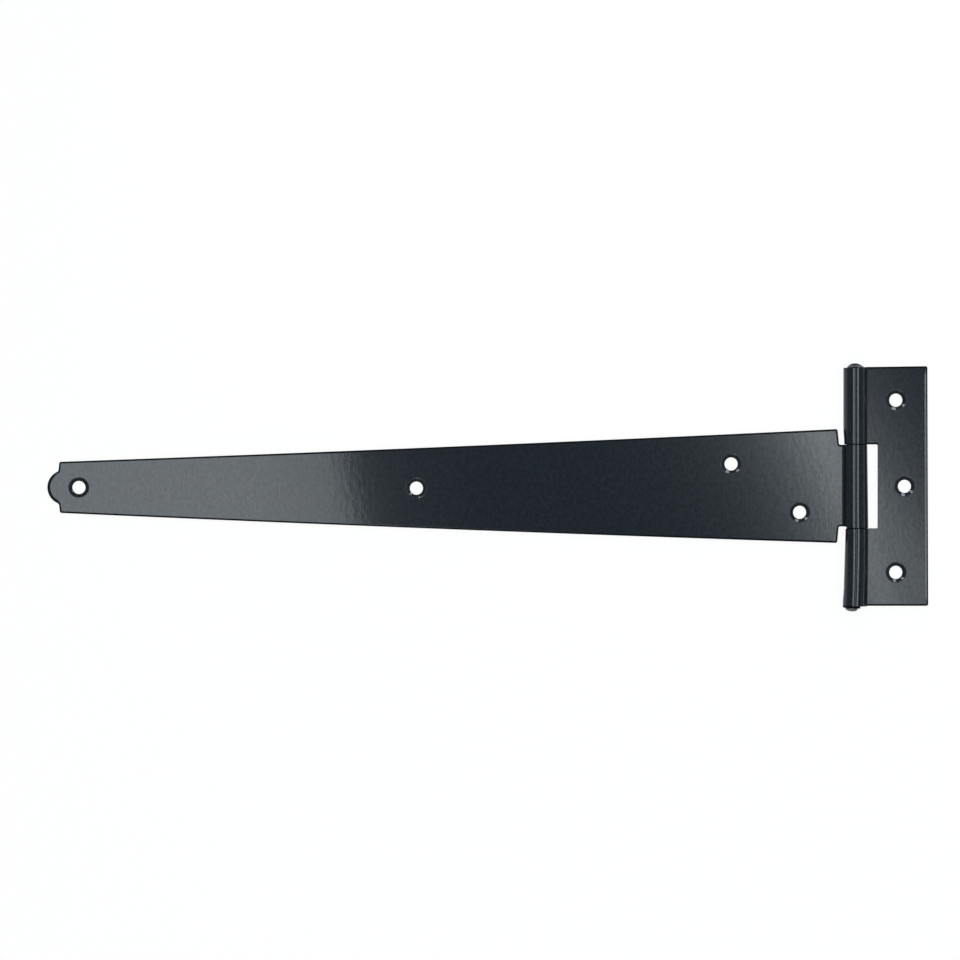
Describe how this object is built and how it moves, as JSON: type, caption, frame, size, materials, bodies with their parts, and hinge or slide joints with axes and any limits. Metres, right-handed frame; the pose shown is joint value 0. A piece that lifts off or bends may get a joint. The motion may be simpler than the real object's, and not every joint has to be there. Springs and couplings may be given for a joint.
{
  "type": "tee hinge",
  "caption": "Long tapered strap and short cross leaf of black coated sheet steel, joined by a pin through rolled knuckles, for hanging a gate or a shed door.",
  "frame": {"origin": "on the flat back of the hinge, under the middle of the pin", "axes": "+X from the pin towards the cross leaf's free edge, with the strap along -X; +Y along the pin towards its formed head; +Z out of the front, the side that the screws enter and the knuckles stand on"},
  "size_m": [0.3048, 0.0858, 0.0076],
  "materials": {
    "powder_coat": "satin black powder coat",
    "pin_coat": "satin black powder coat"
  },
  "bodies": {
    "cross": {"cross_leaf": "powder_coat", "hinge_pin": "pin_coat"},
    "strap": {"strap_leaf": "powder_coat"}
  },
  "joints": [
    {"name": "strap_swing", "type": "hinge", "parent": "cross", "child": "strap", "pos_m": [0, 0, 0.0038], "axis": [0, 1, 0], "range_deg": [-108, 188]}
  ]
}
